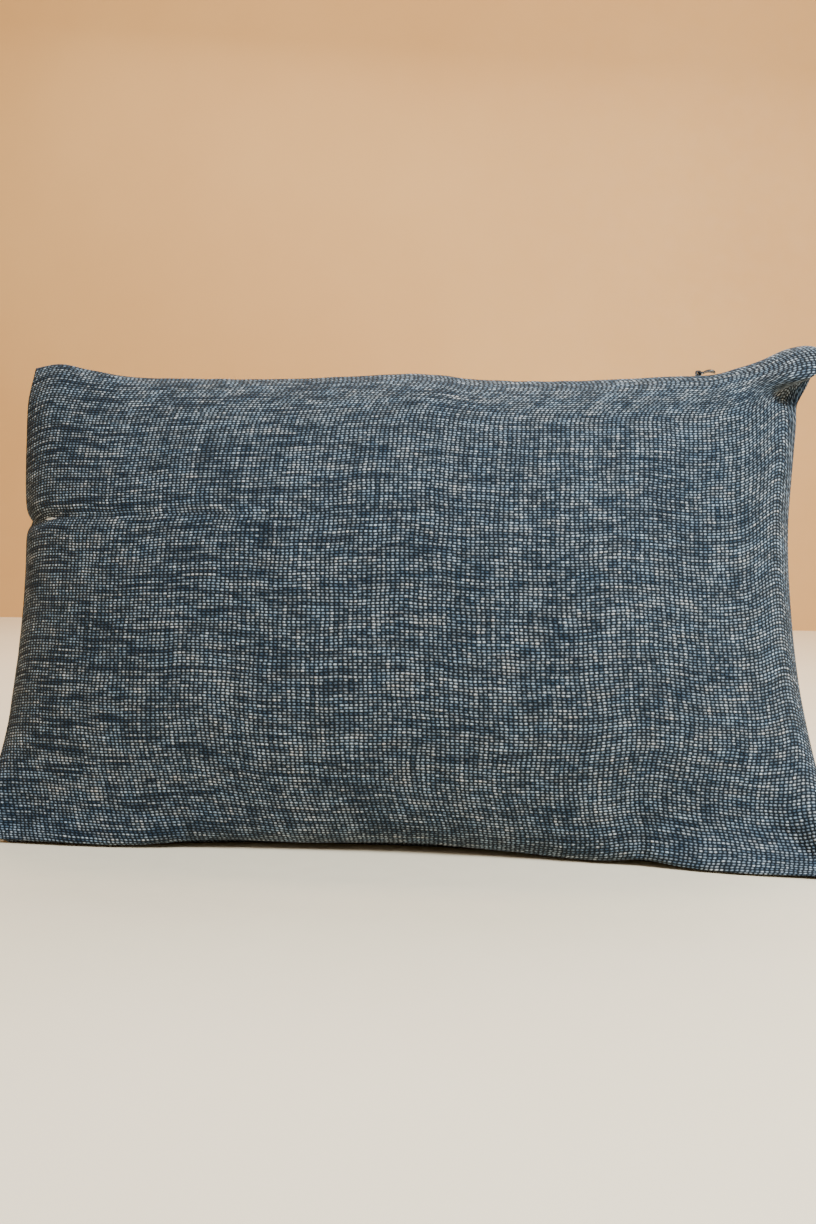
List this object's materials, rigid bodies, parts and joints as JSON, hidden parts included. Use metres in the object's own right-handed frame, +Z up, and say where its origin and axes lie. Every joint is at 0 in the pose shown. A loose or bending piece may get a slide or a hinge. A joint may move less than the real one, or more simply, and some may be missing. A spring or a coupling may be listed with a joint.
{
  "type": "lumbar support cushion",
  "caption": "Rectangular lumbar cushion: woven cover with a zip in its top seam over a fibre-filled inner pad, leaning back on its flattened lower edge.",
  "frame": {"origin": "middle of the bounding box's bottom face, on the surface that the cushion stands on", "axes": "+X along the cushion's width, -Y out of its front face, +Z up; the cushion leans back by 10 degrees towards +Y"},
  "size_m": [0.604, 0.1564, 0.3632],
  "materials": {
    "cover_cloth": "matte",
    "cover_thread": "matte",
    "zip_tape": "matte",
    "zip_coil": "satin",
    "zip_metal": "satin",
    "casing_cloth": "matte",
    "casing_thread": "matte",
    "label_cloth": "satin",
    "fibre": "matte"
  },
  "bodies": {
    "cushion": {"cover_front_panel": "cover_cloth", "cover_back_panel": "cover_cloth", "cover_seam_thread": "cover_thread", "zip_end_tack_left": "cover_thread", "zip_end_tack_right": "cover_thread", "zip_tape_front": "zip_tape", "zip_tape_back": "zip_tape", "zip_tape_thread_front": "cover_thread", "zip_tape_thread_back": "cover_thread", "zip_coil_front": "zip_coil", "zip_coil_back": "zip_coil", "zip_stop_closed_end": "zip_metal", "zip_stop_open_end": "zip_metal", "pad_casing_front": "casing_cloth", "pad_casing_back": "casing_cloth", "pad_seam_thread": "casing_thread", "pad_closing_thread": "casing_thread", "pad_label": "label_cloth", "fibre_fill": "fibre"},
    "slider": {"zip_slider": "zip_metal"},
    "pull": {"zip_pull": "zip_metal"}
  },
  "joints": [
    {"name": "zip_slide", "type": "slide", "parent": "cushion", "child": "slider", "axis": [-1, 0, 0], "range_m": [0, 0.432]},
    {"name": "pull_swing", "type": "hinge", "parent": "slider", "child": "pull", "pos_m": [0.216, 0.02921, 0.34674], "axis": [0, -0.9848, 0.1736], "range_deg": [0, 155]}
  ]
}
